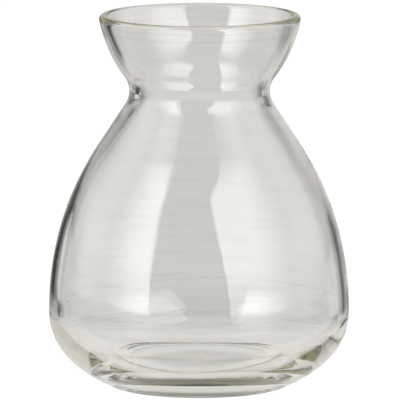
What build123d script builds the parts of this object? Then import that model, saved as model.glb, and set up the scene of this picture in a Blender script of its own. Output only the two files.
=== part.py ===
from build123d import *
import math
import os

# A hyacinth forcing vase, blown as one piece of clear glass. A bulb sits in the cup, its roots hang
# through the throat, and the belly holds the water. All lengths are in millimetres and angles in
# degrees. Z is the axis of the vase, and the bearing ring of the foot stands on Z = 0.

# Rim, fire-polished to a full round
rim_radius = 33.8  # widest point of the rounded lip
rim_wall = 2.9

# Cup that holds the bulb
cup_rise = 25.8  # throat to the crest of the rim
cup_curve = 47.0  # outward bulge of the cup, measured on its outside

# Throat that the bulb can't pass
throat_radius = 23.6  # outside of the glass, at the narrowest point
throat_curve = 8.0  # hollow between the cup and the shoulder, outside
throat_wall = 3.3

# Shoulder and water belly
throat_rise = 73.7  # widest point of the belly to the throat
belly_radius = 50.5  # outside of the glass, at the widest point
belly_height = 25.5  # bearing ring to the widest point
belly_wall = 2.7
shoulder_share = 0.955  # of the arc that would run up to the throat with no straight cone

# Foot
foot_radius = 29.5  # outer edge of the flat bearing ring
foot_corner = 2.0
foot_slope = 25.6  # rise of the glass where it leaves the foot's corner
heel_shares = (0.9, 0.49)  # fullness of the turn from belly to foot, at its two ends
bearing_width = 3.0
bearing_lip = 0.8  # rounding of the ring's inner edge
punt_rise = 1.0  # push-up under the foot, at the axis

# Inside of the foot
floor_height = 5.3  # height of the floor's lowest ring over the bearing ring
floor_share = 0.7525  # radius of the floor's lowest ring, of the foot's
floor_crown = 1.1  # rise of the floor from that ring to the axis
heel_fullness = 0.52  # of the inside's turn from belly to floor; 0.55 is nearly a quarter ellipse
crown_share = 0.3  # of the floor's radius, how far it runs level at its ring and at the axis

throat_height = belly_height + throat_rise
vase_height = throat_height + cup_rise


def crossing(centre_a, reach_a, centre_b, reach_b):
    # Point at reach_a from centre_a and reach_b from centre_b, left of the line from a to b.
    span = centre_b - centre_a
    along = (span.length**2 + reach_a**2 - reach_b**2) / (2 * span.length)
    across = math.sqrt(reach_a**2 - along**2)
    ahead = span.normalized()
    return centre_a + ahead * along + Vector(-ahead.Y, ahead.X) * across


def toward(centre, target, reach):
    # Point at a distance from a centre, in the direction of a target.
    return centre + (target - centre).normalized() * reach


def arc(centre, start, end):
    # Arc of less than half a turn about a centre.
    middle = toward(centre, (start + end) * 0.5, (start - centre).length)
    ThreePointArc(start, middle, end)


def bend(start, corner, end, start_share, end_share):
    # Smooth curve whose two ends point at a corner. The shares say how closely it follows them.
    start_handle = start + (corner - start) * start_share
    end_handle = end + (corner - end) * end_share
    Bezier(start, start_handle, end_handle, end)


class Wall:
    # One face of the glass, outside or inside, from the rim down to the widest point of the belly:
    # cup arc, throat arc, straight cone and shoulder arc, each tangent to the next.
    def __init__(self, lip, cup_arc, lip_reach, throat, throat_arc, belly):
        self.throat_centre = Vector(throat + throat_arc, throat_height)
        self.cup_centre = crossing(self.throat_centre, throat_arc + cup_arc, lip, lip_reach)
        self.lip_end = toward(self.cup_centre, lip, cup_arc)
        self.cup_end = toward(self.cup_centre, self.throat_centre, cup_arc)
        # The longest shoulder arc leaves the belly upright and just touches the throat arc.
        step = belly - throat - throat_arc
        longest = (step**2 + throat_rise**2 - throat_arc**2) / (2 * (step + throat_arc))
        shoulder_arc = longest * shoulder_share
        self.shoulder_centre = Vector(belly - shoulder_arc, belly_height)
        # The cone touches both circles from opposite sides, so its normal leans from the line of
        # their centres by the angle whose cosine is the sum of the radii over their distance.
        centres = self.throat_centre - self.shoulder_centre
        lean = math.acos((shoulder_arc + throat_arc) / centres.length)
        slope = math.atan2(centres.Y, centres.X) - lean
        normal = Vector(math.cos(slope), math.sin(slope))
        self.cone_top = self.throat_centre - normal * throat_arc
        self.cone_foot = self.shoulder_centre + normal * shoulder_arc
        self.belly_point = Vector(belly, belly_height)

    def draw(self):
        arc(self.cup_centre, self.lip_end, self.cup_end)
        arc(self.throat_centre, self.cup_end, self.cone_top)
        Line(self.cone_top, self.cone_foot)
        arc(self.shoulder_centre, self.cone_foot, self.belly_point)


def foot_outside(belly_point):
    # Heel, corner and bearing ring, then the push-up to the axis.
    slope = math.radians(foot_slope)
    corner_centre = Vector(foot_radius, foot_corner)
    corner_end = corner_centre + Vector(math.sin(slope), -math.cos(slope)) * foot_corner
    run = belly_point.X - corner_end.X
    heel_corner = Vector(belly_point.X, corner_end.Y + run * math.tan(slope))
    ring_outer = Vector(foot_radius, 0)
    bend(belly_point, heel_corner, corner_end, *heel_shares)
    arc(corner_centre, corner_end, ring_outer)

    # The push-up is a shallow dome whose edge is rounded into the ring.
    ring_inner = foot_radius - bearing_width
    dome_curve = (ring_inner**2 + punt_rise**2) / (2 * punt_rise)
    dome_centre = Vector(0, punt_rise - dome_curve)
    lip_across = math.sqrt((dome_curve + bearing_lip) ** 2 - (bearing_lip - dome_centre.Y) ** 2)
    lip_centre = Vector(lip_across, bearing_lip)
    lip_top = toward(dome_centre, lip_centre, dome_curve)
    Line(ring_outer, Vector(lip_across, 0))
    arc(lip_centre, Vector(lip_across, 0), lip_top)
    arc(dome_centre, lip_top, Vector(0, punt_rise))


def floor_inside(belly_point):
    # Inner heel down to the floor's lowest ring, then up over a low crown to the axis.
    low_radius = foot_radius * floor_share
    low_point = Vector(low_radius, floor_height)
    heel_corner = Vector(belly_point.X, floor_height)
    crown = Vector(0, floor_height + floor_crown)
    reach = Vector(low_radius * crown_share, 0)
    bend(belly_point, heel_corner, low_point, heel_fullness, heel_fullness)
    Bezier(low_point, low_point - reach, crown + reach, crown)
    return crown


def glass_vessel():
    lip_curve = rim_wall / 2
    lip = Vector(rim_radius - lip_curve, vase_height - lip_curve)
    outside = Wall(lip, cup_curve, cup_curve - lip_curve, throat_radius, throat_curve, belly_radius)
    inner_cup_curve = cup_curve - rim_wall
    inside = Wall(
        lip, inner_cup_curve, inner_cup_curve + lip_curve,
        throat_radius - throat_wall, throat_curve + throat_wall, belly_radius - belly_wall,
    )
    with BuildPart() as glass:
        with BuildSketch(Plane.XZ):
            with BuildLine():
                ThreePointArc(outside.lip_end, Vector(lip.X, vase_height), inside.lip_end)
                outside.draw()
                foot_outside(outside.belly_point)
                crown = floor_inside(inside.belly_point)
                Line(Vector(0, punt_rise), crown)
                inside.draw()
            make_face()
        revolve(axis=Axis.Z)
    return glass.part


os.makedirs("parts", exist_ok=True)
vessel = glass_vessel()
vessel.label = "glass_vessel"
export_step(vessel, "parts/glass_vessel.step")
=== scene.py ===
import cmath
import math

import bmesh
import bpy
from mathutils import Matrix, Vector, noise


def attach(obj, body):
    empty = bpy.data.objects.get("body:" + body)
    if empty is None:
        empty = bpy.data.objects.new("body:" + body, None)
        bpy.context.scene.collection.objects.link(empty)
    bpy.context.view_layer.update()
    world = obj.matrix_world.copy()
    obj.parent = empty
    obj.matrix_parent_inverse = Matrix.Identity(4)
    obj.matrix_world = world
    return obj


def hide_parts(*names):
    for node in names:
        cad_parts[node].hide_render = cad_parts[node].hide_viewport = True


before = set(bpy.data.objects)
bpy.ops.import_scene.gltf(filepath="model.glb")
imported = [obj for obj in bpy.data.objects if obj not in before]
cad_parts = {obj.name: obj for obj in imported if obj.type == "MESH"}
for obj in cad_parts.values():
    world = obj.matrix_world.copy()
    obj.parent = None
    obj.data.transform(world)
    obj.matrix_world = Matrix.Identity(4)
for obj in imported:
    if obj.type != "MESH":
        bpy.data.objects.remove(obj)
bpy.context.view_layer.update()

mm = 0.001
scene = bpy.context.scene


class Sock:
    # one output of a node, so that shader maths reads as arithmetic
    def __init__(self, tree, socket):
        self.tree, self.socket = tree, socket

    def math(self, operation, *others, **settings):
        terms = dict(enumerate((self, *others)))
        return self.tree.node("Math", {"operation": operation, **settings}, terms)["Value"]

    def __add__(self, other): return self.math("ADD", other)
    def __sub__(self, other): return self.math("SUBTRACT", other)
    def __mul__(self, other): return self.math("MULTIPLY", other)
    def __truediv__(self, other): return self.math("DIVIDE", other)
    def __rsub__(self, other): return self.math("MULTIPLY", -1) + other
    def __gt__(self, other): return self.math("GREATER_THAN", other)
    __radd__, __rmul__ = __add__, __mul__

    def rise(self, low, high):
        # 0 below low, 1 above high, smooth in between
        return self.tree.node("MapRange", {"interpolation_type": "SMOOTHSTEP"},
                              {"Value": self, "From Min": low, "From Max": high})["Result"]

    def band(self, low, high, soft):
        # 1 between low and high, with both edges as soft as soft is to either side
        return self.rise(low - soft, low + soft) * (1 - self.rise(high - soft, high + soft))


class Tree:
    # a cleared node tree; node() adds any node from its type, settings, and socket values or links
    def __init__(self, owner):
        owner.use_nodes = True
        self.tree = owner.node_tree
        self.tree.nodes.clear()

    def node(self, kind, settings={}, values={}):
        added = self.tree.nodes.new("ShaderNode" + kind)
        for name, setting in settings.items():
            setattr(added, name, setting)
        for name, value in values.items():
            if isinstance(value, Sock):
                self.tree.links.new(value.socket, added.inputs[name])
            else:
                added.inputs[name].default_value = value
        return {out.name: Sock(self, out) for out in reversed(added.outputs)}

    def vector(self, operation, values):
        return self.node("VectorMath", {"operation": operation}, values)

    def less(self, color, loss, amount):
        # a colour less an amount of a loss
        lost = self.vector("SCALE", {0: loss, "Scale": amount})["Vector"]
        return self.vector("SUBTRACT", {0: color, 1: lost})["Vector"]

    def light(self, color, strength=1.0):
        return self.node("Background", {}, {"Color": (*color, 1), "Strength": strength})["Background"]

    def mix(self, factor, first, second):
        return self.node("MixShader", {}, {0: factor, 1: first, 2: second})["Shader"]


# camera: as far and as high as the photo's, looking at the middle of its frame, in metres
view = {
    "distance": 2.4, "height": 0.4197, "frameWidth": 0.13424, "aimHeight": 0.06225, "aimSide": 0.0002,
    "sensor": 36,
}


def addCamera():
    camera = bpy.data.objects.new("camera", bpy.data.cameras.new("camera"))
    scene.collection.objects.link(camera)
    place = Vector((view["aimSide"], -view["distance"], view["height"]))
    aim = Vector((view["aimSide"], 0, view["aimHeight"]))
    camera.location = place
    camera.rotation_euler = (aim - place).to_track_quat("-Z", "Y").to_euler()
    camera.data.sensor_width = view["sensor"]
    camera.data.lens = view["sensor"] * (aim - place).length / view["frameWidth"]
    scene.camera = camera
    print("studio: camera")


# the glass, in millimetres and degrees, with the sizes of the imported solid
glass = {
    "rimRadius": 33.8, "rimWall": 2.9, "cupRise": 25.8, "cupCurve": 47.0,
    "throatRadius": 23.6, "throatCurve": 8.0, "throatWall": 3.3, "throatRise": 73.7,
    "bellyRadius": 50.5, "bellyHeight": 25.5, "bellyWall": 2.7, "shoulderShare": 0.955,
    "footRadius": 29.5, "footCorner": 2.0, "footSlope": 25.6, "heelShares": (0.9, 0.49),
    "bearingWidth": 3.0, "bearingLip": 0.8, "puntRise": 1.0,
    "floorHeight": 5.3, "floorShare": 0.7525, "floorCrown": 1.1, "heelFullness": 0.52, "crownShare": 0.3,
}

# how finely it is cut: an arc's step in millimetres, and the steps of single parts, the least ones for arcs
steps = {
    "arc": 1.1, "ringLip": 6, "ring": 3, "corner": 8, "heel": 36, "cone": 12, "throat": 16, "rim": 9,
    "floorTurn": 32, "crown": 20, "spin": 256, "weld": 0.002,
}

# what blowing did to it, in millimetres: the inside lies off centre, both faces wave, and the throat has
# faint rings; a fade is the height or radius over which a wave sets in or dies out
blowing = {
    "lean": 0.3, "leanFrom": 40,
    "offset": ((0, 0.3), (40, 0.3), (65, 0.1), (88, 0.1), (100, 0.4), (112, 0.1), (125, 0.0)),
    "waveLength": 24.0, "outerWave": 0.06, "innerWave": 0.2, "innerShift": (7, 3, 5),
    "gather": {"place": (-32, -6, 84), "reach": 14.0, "depth": 0.1},
    "ringLength": 5.2, "ringDepth": 0.01, "ringRange": (84, 112), "ringFade": 6,
    "driftLength": 14, "ringDrift": 2.2,
    "ripple": (0.08, 0.08, 0.2), "rippleDepth": 0.04,
    "heelLength": 9.0, "heelDepth": 0.04, "heelFade": (14, 22),
    "floorWave": 0.06, "floorWaveLength": 12.0, "floorFade": (8, 18), "crownFade": 3,
    "rimFade": 9, "axisFade": 12, "footFade": (3, 12),
}

# seeds, the small bubbles in the wall: radius from the axis, degrees from the front toward +x, height, size
seeds = {
    "rounding": 2,
    "places": (
        (49.2, -61, 31.6, 0.32), (47.6, -78, 43.0, 0.2), (45.2, 74, 54.0, 0.28), (22.0, 40, 3.0, 0.35),
        (48.9, -13, 37.5, 0.12), (48.8, -15, 36.6, 0.1), (48.7, -17, 38.2, 0.14), (48.6, -11, 39.0, 0.09),
        (48.9, -12, 36.0, 0.1), (41.0, -50, 66.0, 0.15), (34.7, 32, 78.0, 0.16), (46.8, 30, 47.0, 0.13),
    ),
}


def toward(centre, target, reach):
    return centre + (target - centre) / abs(target - centre) * reach


class Outline:
    # a chain of vertices in the XZ plane, grown by spinning or extruding its last vertex;
    # its points are complex numbers, radius + height j
    def __init__(self, mesh, start):
        self.mesh, self.at = mesh, start
        self.vert = bmesh.ops.create_vert(mesh, co=(start.real * mm, 0, start.imag * mm))["vert"][0]

    def arc(self, centre, end, least=2):
        turn = cmath.phase((end - centre) / (self.at - centre))
        count = max(least, round(abs(turn) * abs(end - centre) / steps["arc"]))
        spun = bmesh.ops.spin(self.mesh, geom=[self.vert], cent=(centre.real * mm, 0, centre.imag * mm),
                              axis=(0, -1, 0), angle=turn, steps=count)
        self.vert = [v for v in spun["geom_last"] if isinstance(v, bmesh.types.BMVert)][0]
        self.at = end

    def to(self, point):
        grown = bmesh.ops.extrude_vert_indiv(self.mesh, verts=[self.vert])["verts"][0]
        grown.co = (point.real * mm, 0, point.imag * mm)
        self.vert, self.at = grown, point

    def line(self, end, count):
        start = self.at
        for step in range(1, count + 1):
            self.to(start + (end - start) * step / count)

    def bend(self, startHandle, endHandle, end, count):
        # a curve that leaves toward its first handle and arrives from its second
        start = self.at
        for step in range(1, count + 1):
            t = step / count
            s = 1 - t
            self.to(s ** 3 * start + 3 * s * s * t * startHandle + 3 * s * t * t * endHandle + t ** 3 * end)


def wallArcs(g, lip, cupCurve, lipReach, throat, throatCurve, belly):
    # one face of the wall: cup, throat and shoulder arcs and the straight cone, each tangent to the next
    throatCentre = complex(throat + throatCurve, g["bellyHeight"] + g["throatRise"])
    span = lip - throatCentre
    reach = throatCurve + cupCurve
    along = (abs(span) ** 2 + reach ** 2 - lipReach ** 2) / (2 * abs(span))
    cupCentre = throatCentre + span / abs(span) * complex(along, math.sqrt(reach ** 2 - along ** 2))
    step = belly - throat - throatCurve
    longest = (step ** 2 + g["throatRise"] ** 2 - throatCurve ** 2) / (2 * (step + throatCurve))
    shoulderCurve = longest * g["shoulderShare"]
    shoulderCentre = complex(belly - shoulderCurve, g["bellyHeight"])
    between = throatCentre - shoulderCentre
    lean = math.acos((shoulderCurve + throatCurve) / abs(between))
    normal = cmath.rect(1, cmath.phase(between) - lean)
    return {
        "throatCentre": throatCentre, "cupCentre": cupCentre, "shoulderCentre": shoulderCentre,
        "lipEnd": toward(cupCentre, lip, cupCurve), "cupEnd": toward(cupCentre, throatCentre, cupCurve),
        "coneTop": throatCentre - normal * throatCurve, "coneFoot": shoulderCentre + normal * shoulderCurve,
        "belly": complex(belly, g["bellyHeight"]),
    }


def glassOutline(mesh, inner, g):
    lipCurve = g["rimWall"] / 2
    lip = complex(g["rimRadius"] - lipCurve, g["bellyHeight"] + g["throatRise"] + g["cupRise"] - lipCurve)
    outside = wallArcs(g, lip, g["cupCurve"], g["cupCurve"] - lipCurve, g["throatRadius"],
                       g["throatCurve"], g["bellyRadius"])
    innerCup = g["cupCurve"] - g["rimWall"]
    inside = wallArcs(g, lip, innerCup, innerCup + lipCurve, g["throatRadius"] - g["throatWall"],
                      g["throatCurve"] + g["throatWall"], g["bellyRadius"] - g["bellyWall"])

    # outside, from the push-up at the axis out over the bearing ring and up to the rim
    ringInner = g["footRadius"] - g["bearingWidth"]
    domeCurve = (ringInner ** 2 + g["puntRise"] ** 2) / (2 * g["puntRise"])
    domeCentre = complex(0, g["puntRise"] - domeCurve)
    lipAcross = math.sqrt((domeCurve + g["bearingLip"]) ** 2 - (g["bearingLip"] - domeCentre.imag) ** 2)
    ringLip = complex(lipAcross, g["bearingLip"])
    slope = cmath.rect(1, math.radians(g["footSlope"]))
    corner = complex(g["footRadius"], g["footCorner"])
    cornerEnd = corner - 1j * slope * g["footCorner"]
    run = g["bellyRadius"] - cornerEnd.real
    heelCorner = cornerEnd + slope / slope.real * run
    path = Outline(mesh, complex(0, g["puntRise"]))
    path.arc(domeCentre, toward(domeCentre, ringLip, domeCurve))
    path.arc(ringLip, complex(lipAcross, 0), steps["ringLip"])
    path.line(complex(g["footRadius"], 0), steps["ring"])
    path.arc(corner, cornerEnd, steps["corner"])
    path.bend(cornerEnd + (heelCorner - cornerEnd) * g["heelShares"][1],
              outside["belly"] + (heelCorner - outside["belly"]) * g["heelShares"][0],
              outside["belly"], steps["heel"])
    path.arc(outside["shoulderCentre"], outside["coneFoot"])
    path.line(outside["coneTop"], steps["cone"])
    path.arc(outside["throatCentre"], outside["cupEnd"], steps["throat"])
    path.arc(outside["cupCentre"], outside["lipEnd"])
    path.arc(lip, lip + 1j * lipCurve, steps["rim"])

    # inside, back down to the floor; what grows from a marked vertex is marked too, as the inner face
    path.vert[inner] = 1.0
    path.arc(lip, inside["lipEnd"], steps["rim"])
    path.arc(inside["cupCentre"], inside["cupEnd"])
    path.arc(inside["throatCentre"], inside["coneTop"], steps["throat"])
    path.line(inside["coneFoot"], steps["cone"])
    path.arc(inside["shoulderCentre"], inside["belly"])
    low = complex(g["footRadius"] * g["floorShare"], g["floorHeight"])
    fold = complex(inside["belly"].real, g["floorHeight"])
    crown = 1j * (g["floorHeight"] + g["floorCrown"])
    path.bend(inside["belly"] + (fold - inside["belly"]) * g["heelFullness"],
              low + (fold - low) * g["heelFullness"], low, steps["floorTurn"])
    path.bend(low - low.real * g["crownShare"], crown + low.real * g["crownShare"], crown, steps["crown"])


def smooth(low, high, value):
    t = min(1, max(0, (value - low) / (high - low)))
    return t * t * (3 - 2 * t)


def along(stops, height):
    # a smooth run through stops of height and value
    for (low, first), (high, second) in zip(stops, stops[1:]):
        if height <= high:
            return first + (second - first) * smooth(low, high, height)
    return stops[-1][1]


def blow(mesh, inner, g, b):
    top = g["bellyHeight"] + g["throatRise"] + g["cupRise"]
    gather = b["gather"]
    ringLow, ringHigh = b["ringRange"]
    for v in mesh.verts:
        place = v.co / mm
        radius = math.hypot(place.x, place.y)
        if radius < 0.01:
            continue
        out = Vector((place.x, place.y, 0)) / radius
        inside = v[inner] * smooth(0, b["rimFade"], top - place.z)
        free = smooth(0, b["axisFade"], radius) * smooth(*b["footFade"], place.z)
        wave = noise.noise(place / b["waveLength"]) * b["outerWave"]
        wave += inside * noise.noise(place / b["waveLength"] + Vector(b["innerShift"])) * b["innerWave"]
        near = (place - Vector(gather["place"])).length / gather["reach"]
        wave -= inside * gather["depth"] * math.exp(-near * near)
        ringed = smooth(ringLow, ringLow + b["ringFade"], place.z)
        ringed *= 1 - smooth(ringHigh - b["ringFade"], ringHigh, place.z)
        drift = noise.noise(place / b["driftLength"]) * b["ringDrift"]
        wave += ringed * b["ringDepth"] * math.sin(place.z / b["ringLength"] * math.tau + drift)
        wave += noise.noise(place * Vector(b["ripple"])) * b["rippleDepth"]
        heel = (1 - v[inner]) * (1 - smooth(*b["heelFade"], place.z))
        wave += heel * noise.noise(place / b["heelLength"]) * b["heelDepth"]
        shift = along(b["offset"], place.z)
        place += out * wave * free + Vector((inside * free * shift, 0, 0))
        floored = v[inner] * (1 - smooth(*b["floorFade"], place.z)) * smooth(0, b["crownFade"], radius)
        place.z += floored * noise.noise(place / b["floorWaveLength"]) * b["floorWave"]
        place.x += b["lean"] * (smooth(b["leanFrom"], top, place.z) - 0.5)
        v.co = place * mm


def addSeeds(mesh):
    for radius, angle, height, size in seeds["places"]:
        turn = math.radians(angle)
        place = Vector((radius * math.sin(turn), -radius * math.cos(turn), height))
        bubble = bmesh.ops.create_icosphere(mesh, subdivisions=seeds["rounding"], radius=size * mm,
                                            matrix=Matrix.Translation(place * mm))
        # a bubble is a hole in the glass, so its faces look inward
        bmesh.ops.reverse_faces(mesh, faces=list({face for v in bubble["verts"] for face in v.link_faces}))


def addGlass():
    mesh = bmesh.new()
    inner = mesh.verts.layers.float.new("inner")
    glassOutline(mesh, inner, glass)
    bmesh.ops.spin(mesh, geom=mesh.verts[:] + mesh.edges[:], cent=(0, 0, 0), axis=(0, 0, 1),
                   angle=math.tau, steps=steps["spin"], use_merge=True)
    bmesh.ops.remove_doubles(mesh, verts=mesh.verts, dist=steps["weld"] * mm)
    bmesh.ops.recalc_face_normals(mesh, faces=mesh.faces)
    blow(mesh, inner, glass, blowing)
    addSeeds(mesh)
    for face in mesh.faces:
        face.smooth = True
    data = bpy.data.meshes.new("glass")
    mesh.to_mesh(data)
    mesh.free()
    piece = bpy.data.objects.new("glass", data)
    scene.collection.objects.link(piece)
    piece.data.materials.append(clearGlass())
    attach(piece, "root")
    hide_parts("glass_vessel")
    print("glass:", len(data.polygons), "faces")


# the glass's look, in metres: the rings under the rim and the bands round the heel are painted shade, each
# as height, half width and strength
glassLook = {
    "color": (1, 1, 1), "ior": 1.5, "absorb": (0.84, 0.85, 0.62, 1), "density": 5.5,
    "streakStretch": (45, 45, 620), "streakDetail": 4.0, "streakRoughness": 0.6, "streakRange": (0.5, 0.8),
    "streakAndShadeLoss": (0.06, 0.064, 0.075), "bump": 0.25, "bumpDepth": 0.00002,
    "shadeRings": ((0.1221, 0.0003, 0.64), (0.1197, 0.0004, 0.8)),
    "shadeBands": ((0.0163, 0.0004, 0.6), (0.0119, 0.0003, 0.5), (0.028, 0.0005, 0.25)),
    "shadeWander": 0.003, "wanderScale": 55.0, "wanderDetail": 3.0, "shadeRadius": (0.028, 0.03),
    "shadeLoss": (0.2, 0.2, 0.26),
    "footShade": 0.3, "footRadius": (0.0288, 0.0296), "footHeight": (0.0012, 0.0022),
}


def clearGlass():
    look = glassLook
    material = bpy.data.materials.new("clearGlass")
    tree = Tree(material)
    place = tree.node("TexCoord")["Object"]
    height = tree.node("SeparateXYZ", {}, {0: place})["Z"]

    # faint level streaks left by the chilled glass, and two soft darker rings under the polished rim that
    # are painted shade
    stretched = tree.vector("MULTIPLY", {0: place, 1: look["streakStretch"]})["Vector"]
    streaks = tree.node("TexNoise", {}, {
        "Vector": stretched, "Scale": 1.0, "Detail": look["streakDetail"],
        "Roughness": look["streakRoughness"]})["Fac"]
    streaksAndShade = streaks.rise(*look["streakRange"])
    # painted shade: two darker rings under the rim, added to the streaks
    for level, width, depth in look["shadeRings"]:
        streaksAndShade = streaksAndShade + height.band(level - width, level + width, width) * depth
    color = tree.less(look["color"], look["streakAndShadeLoss"], streaksAndShade)

    # painted shade: darker olive bands that wander round the heel, standing for the table's shadow seen
    # through the glass, and a darker edge where the foot stands, a painted contact shadow
    wander = tree.node("TexNoise", {}, {
        "Vector": place, "Scale": look["wanderScale"], "Detail": look["wanderDetail"]})["Fac"]
    shadeLevel = height + (wander - 0.5) * look["shadeWander"]
    level = tree.vector("MULTIPLY", {0: place, 1: (1, 1, 0)})["Vector"]
    radius = tree.vector("LENGTH", {0: level})["Value"]
    paintedShade = radius.rise(*look["footRadius"]) * (1 - height.rise(*look["footHeight"])) * look["footShade"]
    # each band is painted shade, not a cord in the glass
    for low, width, depth in look["shadeBands"]:
        shadeLine = shadeLevel.band(low - width, low + width, width) * radius.rise(*look["shadeRadius"])
        paintedShade = paintedShade + shadeLine * depth
    color = tree.less(color, look["shadeLoss"], paintedShade)

    normal = tree.node("Bump", {}, {
        "Strength": look["bump"], "Distance": look["bumpDepth"], "Height": streaks})["Normal"]
    shader = tree.node("BsdfPrincipled", {}, {
        "Base Color": color, "Roughness": 0.0, "IOR": look["ior"], "Normal": normal,
        "Transmission Weight": 1.0})["BSDF"]
    volume = tree.node("VolumeAbsorption", {}, {
        "Color": look["absorb"], "Density": look["density"]})["Volume"]
    tree.node("OutputMaterial", {}, {"Surface": shader, "Volume": volume})
    return material


# The room that the glass shows. It isn't plain studio light: its light and dark fields are fitted to the
# camera's view above, they differ by how often the glass has mirrored a ray, and the white background is
# there for camera rays alone. In degrees: azimuth 0 is behind the vase, 90 on its right, elevation 0 is
# level. Two numbers are where a change starts and ends, and three a band's two edges and their softness.
# A bent ray is one that the glass has mirrored once.
room = {
    "pale": (1.0, 0.982, 0.94), "backdrop": 0.66, "beyond": 0.7, "repeat": 45,
    "spread": 0.045, "spreadLevel": 3,
    "leftFall": (-26, -10), "leftBent": (-15, -1), "rightFall": (7, 29),
    "leftGap": (-52, -16), "rightGap": (23, 58), "bentGap": (-33, -27), "bentHeights": (-8.5, 2, 1),
    "corner": (31, 40), "cornerHeights": (-13, -10.5),
    "glow": 0.4, "glowLeast": 0.05, "glowSide": (-32, -29),
    "lowGlow": 1.3, "lowHeights": (-13, -9.5, 1.5), "deepGlow": 0.6, "deepHeights": (-15, -11),
    "highHeights": (4, 24, 3),
    "shade": 0.9, "shadeSide": (9, 18, 2), "shadeHeights": (-19, -13, 1),
    "ceiling": (12, 24), "ceilingDark": 0.85, "overhead": 0.85, "overheadFrom": (48, 58),
    "below": (-28, -19), "belowBent": 4,
}


def roomLight(azimuth, elevation, bounced, once):
    # a lit backdrop with a dark gap on both sides, once every quarter turn
    spread = (elevation + room["spreadLevel"]).math("ABSOLUTE") * room["spread"] + 1
    side = azimuth.math("WRAP", room["repeat"], -room["repeat"])
    turn = side / spread
    fall = turn.rise(*room["leftFall"]) * (1 - bounced) + turn.rise(*room["leftBent"]) * bounced
    backdrop = fall * (1 - turn.rise(*room["rightFall"]))
    bent = (1 - side.rise(*room["bentGap"])) * elevation.band(*room["bentHeights"]) * once
    beyond = (1 - turn.rise(*room["leftGap"])) * (1 - once) + bent + turn.rise(*room["rightGap"])
    light = backdrop * room["backdrop"] + beyond * room["beyond"]

    # the light between two gaps is wider for a camera that looks down more
    low = 1 - elevation.rise(*room["cornerHeights"])
    corner = side.math("ABSOLUTE").rise(*room["corner"]) * low * (1 - bounced)
    light = light.math("MAXIMUM", corner * room["beyond"])

    # bent rays: a shade on the right, and a glow where no backdrop is
    shaded = side.band(*room["shadeSide"]) * elevation.band(*room["shadeHeights"])
    light = light * (1 - shaded * once * room["shade"])
    glow = elevation.band(*room["lowHeights"]) * room["lowGlow"]
    glow = glow + (1 - elevation.rise(*room["deepHeights"])) * room["deepGlow"]
    glow = glow * side.rise(*room["glowSide"]) + elevation.band(*room["highHeights"])
    light = light + (glow * (1 - backdrop) * room["glow"] + room["glowLeast"]) * once

    # a dark ceiling with a light overhead, and an even table below
    light = light * (1 - elevation.rise(*room["ceiling"]) * room["ceilingDark"])
    below = 1 - (elevation + once * room["belowBent"]).rise(*room["below"])
    light = light * (1 - below) + below * room["backdrop"]
    return light + elevation.rise(*room["overheadFrom"]) * room["overhead"]


# two soft boxes, from beside the vase to beside the camera, seen only where the glass mirrors them;
# rim, side and front are strengths that add up from the far end of a box to the camera
boxes = {
    "color": (0.985, 0.985, 1.0), "softness": 0.6,
    "left": {
        "edge": -141, "rim": 0.65, "side": 0.7, "sideFrom": (55, 80), "front": 2.7, "frontFrom": (95, 135)},
    "right": {
        "edge": 156, "rim": 0.6, "side": 0.5, "sideFrom": (55, 75), "front": 2.2, "frontFrom": (92, 135)},
    "rightLean": 0.28, "rightReturn": 22, "returnFrom": (42, 55),
    "bottom": (-4, -2), "top": (44, 62), "lowDim": 0.3, "lowHeights": (0, 15),
    "near": 0.8, "nearTo": (85, 110), "farTable": 0.65, "mirroredFrom": (45, 60), "deepTurn": 45,
}


def boxLight(azimuth, elevation, away, deep):
    left, right = (away.rise(*box["sideFrom"]) * box["side"] + away.rise(*box["frontFrom"]) * box["front"]
                   + box["rim"] for box in (boxes["left"], boxes["right"]))
    leftEdge, rightEdge, soft = boxes["left"]["edge"], boxes["right"]["edge"], boxes["softness"]
    rightEnd = azimuth - elevation * boxes["rightLean"]
    rightEnd = rightEnd + elevation.rise(*boxes["returnFrom"]) * boxes["rightReturn"]
    left = left * azimuth.rise(leftEdge - soft, leftEdge + soft)
    right = right * (1 - rightEnd.rise(rightEdge - soft, rightEdge + soft))
    onRight = azimuth > 0
    light = left * (1 - onRight) + right * onRight
    above = elevation.rise(*boxes["bottom"])
    near = (1 - deep) * (1 - away.rise(*boxes["nearTo"])) * boxes["near"] + 1
    dimmed = elevation.rise(*boxes["lowHeights"]) * boxes["lowDim"] + 1 - boxes["lowDim"]
    light = light * near * above * dimmed * (1 - elevation.rise(*boxes["top"]))
    return light + (1 - above) * boxes["farTable"]


# light that wandered inside the glass, fitted to the view too: dark from above and from behind the camera,
# and even in the end; after and lostAfter count how often the glass mirrored it
wandered = {
    "after": 5.5, "color": (0.67, 0.645, 0.68), "lostAfter": (36, 46), "lostColor": (0.88, 0.86, 1.12),
    "behind": (18, 28), "behindShare": 0.5, "camera": (118, 130), "cameraDark": 0.85,
    "above": (9, 34), "aboveDark": 0.94,
}


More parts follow.
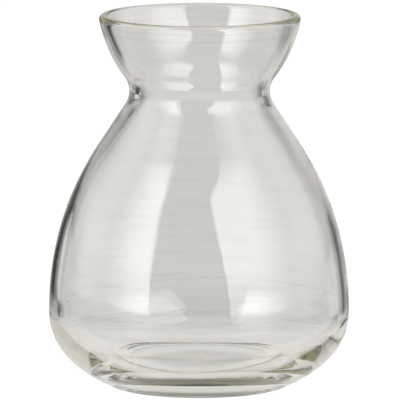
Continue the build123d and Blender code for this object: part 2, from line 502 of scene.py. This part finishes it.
def addWorld():
    world = bpy.data.worlds.new("studio")
    scene.world = world
    tree = Tree(world)
    parts = tree.node("SeparateXYZ", {}, {0: tree.node("TexCoord")["Generated"]})
    azimuth = parts["X"].math("ARCTAN2", parts["Y"]) * (180 / math.pi)
    elevation = parts["Z"].math("ARCSINE") * (180 / math.pi)
    away = azimuth.math("ABSOLUTE")
    path = tree.node("LightPath")
    mirrors = path["Glossy Depth"]
    bounced = mirrors > 0.5
    once = bounced * (1 - (mirrors > 1.5))
    deep = path["Transmission Depth"] > 0.5

    around = tree.light(room["pale"], roomLight(azimuth, elevation, bounced, once))
    lamps = tree.light(boxes["color"], boxLight(azimuth, elevation, away, deep))
    mirrored = (away - deep * boxes["deepTurn"]).rise(*boxes["mirroredFrom"]) * once
    around = tree.mix(mirrored, around, lamps)

    aside = away.rise(*wandered["behind"]) * wandered["behindShare"] + 1 - wandered["behindShare"]
    aside = aside * (1 - away.rise(*wandered["camera"]) * wandered["cameraDark"])
    aside = aside * (1 - elevation.rise(*wandered["above"]) * wandered["aboveDark"])
    haze = tree.light(wandered["color"], aside)
    haze = tree.mix(mirrors.rise(*wandered["lostAfter"]), haze, tree.light(wandered["lostColor"]))
    around = tree.mix(mirrors > wandered["after"], around, haze)
    surface = tree.mix(path["Is Camera Ray"], around, tree.light((1, 1, 1)))
    tree.node("OutputWorld", {}, {"Surface": surface})
    print("studio: world")


# the floor, in metres: the camera sees white paper with the shadow, but the glass sees a greyer glowing
# table, with painted shade under the foot and painted light to the sides, that ends at near, where the room
# shows through
table = {
    "radius": 1.5, "segments": 96, "below": 0.02, "near": (0.13, 0.15),
    "shadeUnderFoot": 0.67, "open": 0.72, "openFrom": (0.005, 0.042), "side": 0.1, "sideFrom": (0.005, 0.03),
    "behindFrom": (0.05, 0.1), "paper": 0.8, "shadowed": 0.3, "glow": 0.97,
}


def addFloor():
    mesh = bmesh.new()
    bmesh.ops.create_circle(mesh, cap_ends=True, radius=table["radius"], segments=table["segments"])
    data = bpy.data.meshes.new("floor")
    mesh.to_mesh(data)
    mesh.free()
    floor = bpy.data.objects.new("floor", data)
    floor.location.z = -table["below"] * mm
    scene.collection.objects.link(floor)
    material = bpy.data.materials.new("paperFloor")
    tree = Tree(material)
    path = tree.node("LightPath")
    place = tree.node("TexCoord")["Object"]
    away = tree.vector("LENGTH", {0: place})["Value"]
    side = tree.node("SeparateXYZ", {}, {0: place})["X"].math("ABSOLUTE")

    # painted light for the glass: the table glows darker under the foot as painted shade, lighter in the
    # open and to both sides, and at the backdrop's level behind
    lit = table["shadeUnderFoot"] + away.rise(*table["openFrom"]) * (table["open"] - table["shadeUnderFoot"])
    lit = lit + side.rise(*table["sideFrom"]) * table["side"]
    behind = away.rise(*table["behindFrom"])
    lit = lit * (1 - behind) + behind * room["backdrop"]
    paintedTableLight = tree.node("Emission", {}, {"Color": (*room["pale"], 1), "Strength": lit})["Emission"]
    through = tree.mix(away.rise(*table["near"]), paintedTableLight, tree.node("BsdfTransparent")["BSDF"])

    paper = tree.node("BsdfDiffuse", {}, {"Color": (table["paper"],) * 3 + (1,)})["BSDF"]
    shown = tree.node("AddShader", {}, {
        0: tree.node("BsdfDiffuse", {}, {"Color": (table["shadowed"],) * 3 + (1,)})["BSDF"],
        1: tree.node("Emission", {}, {"Strength": table["glow"]})["Emission"]})["Shader"]
    glassRay = path["Is Transmission Ray"].math("MAXIMUM", path["Is Glossy Ray"])
    surface = tree.mix(glassRay, tree.mix(path["Is Camera Ray"], paper, shown), through)
    tree.node("OutputMaterial", {}, {"Surface": surface})
    data.materials.append(material)
    print("studio: floor")


addCamera()
addGlass()
addWorld()
addFloor()

# light caught in the rim turns over a hundred times before it leaves the glass
bounces = 128
scene.cycles.max_bounces = bounces
scene.cycles.transmission_bounces = bounces
scene.cycles.glossy_bounces = bounces
scene.view_settings.view_transform = "Standard"
